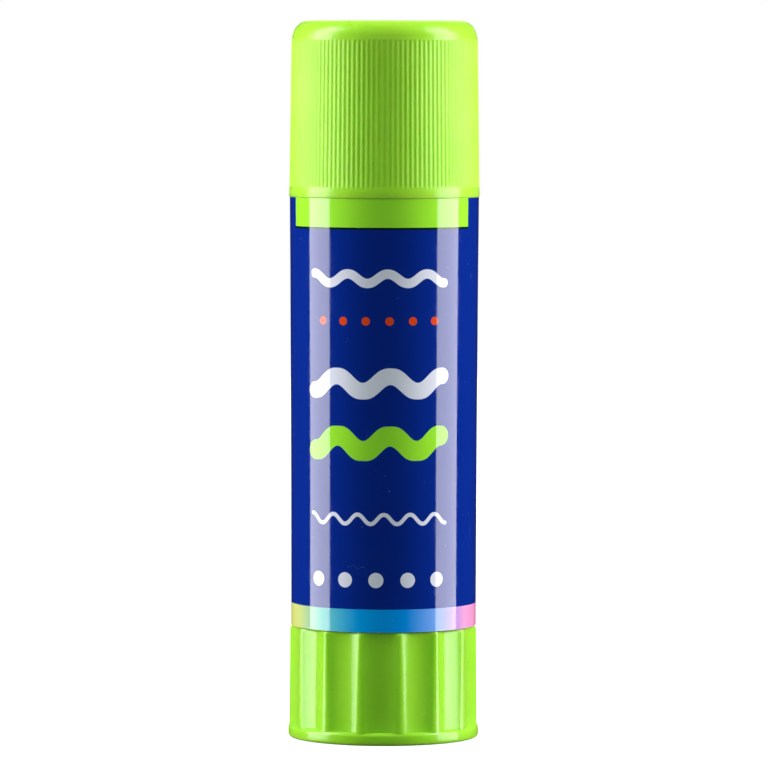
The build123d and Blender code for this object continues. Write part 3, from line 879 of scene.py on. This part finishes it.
def makeGlueStick():
    g = glue
    points = roundedOutline([
        (g["recess"], g["foot"]), (g["radius"], g["foot"], g["footRound"]),
        (g["radius"], g["top"] - g["dome"], g["edge"]), (g["domeRadius"], g["top"] - g["domeDrop"], g["domeRound"]),
        (g["hole"], g["top"], g["holeRound"]), (g["hole"], g["recessTop"]), (g["recess"], g["recessTop"])])
    # more points on the long sides, so that the wear has something to bend
    dense = []
    for here, there in zip(points, points[1:] + points[:1]):
        parts = min(g["mostParts"], int((there - here).length / g["spacing"]))
        dense.append(here)
        dense += [here.lerp(there, k / parts) for k in range(1, parts)]
    bm = bmesh.new()
    spinOutline(bm, dense, g["steps"])
    tidyMesh(bm)
    # use has worn the top a little lower to one side and left a soft unevenness
    for vert in bm.verts:
        radius = vert.co.xy.length / mm
        high = smoothStep(g["top"] - g["wearFrom"], g["top"] - g["wearTo"], vert.co.z / mm)
        angle = atan2(vert.co.y, vert.co.x)
        worn = g["lean"] * (1 + sin(angle + g["leanAngle"])) / 2 * radius / g["radius"]
        ripple = g["ripple"] * sin(g["ripples"] * angle + g["rippleAngle"])
        ripple += g["ring"] * sin(radius * g["ringRate"] + angle)
        vert.co.z -= (worn + abs(ripple)) * high * mm
    finishPiece(bm, "worn_glue", "carrier", glueWax, "glue_stick")


makeGlueStick()
print("glue made")


# Studio: pale floor and backdrop, two tall softboxes at the sides, weak fills

studio = {
    # a softbox spans a range of directions, counted in degrees from the camera's side
    "softboxDistance": 0.60, "leftSoftbox": (68.5, 103.4), "rightSoftbox": (65.4, 101.6),
    "softboxLow": -0.12, "softboxHigh": 0.92, "softboxStrength": 8.0, "softboxDiffuse": 0.8,
    "fillAim": (0, 0, 0.055),
    "fills": [
        {"name": "back_fill", "place": (0, 0.9, 0.35), "size": (1.4, 1.0), "strength": 0.5},
        {"name": "front_fill", "place": (0, -1.2, 0.5), "size": (1.0, 1.0), "strength": 0.6,
         "colour": (0.4, 1.0, 0.8)},
        {"name": "left_fill", "place": (-0.87, 0.23, 0.4), "size": (0.6, 1.0), "strength": 1.0},
        {"name": "right_fill", "place": (0.87, 0.23, 0.4), "size": (0.6, 1.0), "strength": 1.0},
        {"name": "top_fill", "place": (0, -0.2, 1.2), "size": (0.8, 0.8), "strength": 0.3},
    ],
    "surround": 0.012, "backdrop": 1.0,
}
floorPaper = {
    "radius": 1.6, "segments": 96, "below": 0.00005,
    "cloud": {"scale": 4.0}, "grey": 0.80, "lighter": 0.83, "roughness": 0.9, "gloss": 0.1, "bounce": 0.12,
    # painted glow that the camera sees, as a share of white: less close round the part, a painted shade there in
    # which the real shadow shows
    "shadowFrom": 0.03, "shadowTo": 0.22, "nearGlow": 0.62, "farGlow": 1.0,
}


def addAreaLight(name, place, aim, size, strength):
    light = bpy.data.lights.new(name, "AREA")
    light.shape = "RECTANGLE"
    light.size, light.size_y = size
    light.energy = strength * pi * size[0] * size[1]
    lamp = bpy.data.objects.new(name, light)
    lamp.location = place
    lamp.rotation_euler = aim.to_track_quat("-Z", "Y").to_euler()
    lamp.visible_camera = False
    scene.collection.objects.link(lamp)
    return lamp


def addSoftbox(side, span):
    distance, low, high = studio["softboxDistance"], studio["softboxLow"], studio["softboxHigh"]
    near, far = [distance * sin(radians(90 - direction)) for direction in span]
    place = (side * distance, -(near + far) / 2, (high + low) / 2)
    size = (near - far, high - low)
    box = addAreaLight("softbox", place, Vector((-side, 0, 0)), size, studio["softboxStrength"])
    box.data.diffuse_factor = studio["softboxDiffuse"]


def addFill(name, place, size, strength, colour=(1.0, 1.0, 1.0)):
    # fills light the part but are never mirrored in it
    lamp = addAreaLight(name, place, Vector(studio["fillAim"]) - Vector(place), size, strength)
    lamp.data.color = colour
    lamp.data.specular_factor = 0.0
    lamp.visible_glossy = False


def seenDirectly(tree):
    # 1 for the camera and through clear things, 0 for the light that the part gets
    rays = tree.nodes.new("ShaderNodeLightPath")
    return calc(tree, "MAXIMUM", rays.outputs["Is Camera Ray"], rays.outputs["Is Transmission Ray"])


def grey(level):
    return [level] * 3 + [1.0]


def makeSurround():
    world = bpy.data.worlds.new("surround")
    world.use_nodes = True
    tree = world.node_tree
    colour = mixed(tree, seenDirectly(tree), grey(studio["surround"]), grey(studio["backdrop"]))
    tree.links.new(colour, tree.nodes["Background"].inputs["Color"])
    scene.world = world


def makeFloor():
    paper = floorPaper
    bm = bmesh.new()
    bmesh.ops.create_circle(bm, cap_ends=True, segments=paper["segments"], radius=paper["radius"])
    mesh = bpy.data.meshes.new("floor")
    bm.to_mesh(mesh)
    bm.free()
    floor = bpy.data.objects.new("floor", mesh)
    floor.location.z = -paper["below"]
    scene.collection.objects.link(floor)
    material, tree, shader = newMaterial("floor_paper")
    seen = seenDirectly(tree)
    shade = mixed(tree, noise(tree, **paper["cloud"]), grey(paper["grey"]), grey(paper["lighter"]))
    tree.links.new(mixed(tree, seen, grey(paper["bounce"]), shade), shader.inputs["Base Color"])
    setSockets(shader, Roughness=paper["roughness"], Specular_IOR_Level=paper["gloss"])
    # painted glow that makes the floor white where the camera sees it, dimmed close round the part as a painted
    # shade, so that the real shadow shows there
    where = tree.nodes.new("ShaderNodeTexCoord")
    spread = tree.nodes.new("ShaderNodeVectorMath")
    spread.operation = "LENGTH"
    tree.links.new(where.outputs["Object"], spread.inputs[0])
    glow = ramped(tree, spread.outputs["Value"], paper["shadowFrom"], paper["shadowTo"],
                  paper["nearGlow"], paper["farGlow"])
    shader.inputs["Emission Color"].default_value = grey(1.0)
    tree.links.new(calc(tree, "MULTIPLY", seen, glow), shader.inputs["Emission Strength"])
    mesh.materials.append(material)
    floor.visible_glossy = False


addSoftbox(-1, studio["leftSoftbox"])
addSoftbox(1, studio["rightSoftbox"])
for fill in studio["fills"]:
    addFill(**fill)
makeSurround()
makeFloor()
print("studio made")


# Camera: level with the cap, looking slightly down, with the photograph's small tilt

view = {
    "distance": 0.906, "height": 0.104, "pitch": 3.17, "roll": 0.125,
    "lens": 279.0, "sensor": 36.0, "clipStart": 0.01,
}
cameraData = bpy.data.cameras.new("camera")
cameraData.lens = view["lens"]
cameraData.sensor_width = view["sensor"]
cameraData.clip_start = view["clipStart"]
camera = bpy.data.objects.new("camera", cameraData)
camera.location = (0, -view["distance"], view["height"])
look = Vector((0, cos(radians(view["pitch"])), -sin(radians(view["pitch"]))))
aimed = look.to_track_quat("-Z", "Y").to_matrix() @ Matrix.Rotation(radians(view["roll"]), 3, "Z")
camera.rotation_euler = aimed.to_euler()
scene.collection.objects.link(camera)
scene.camera = camera

print("finished")
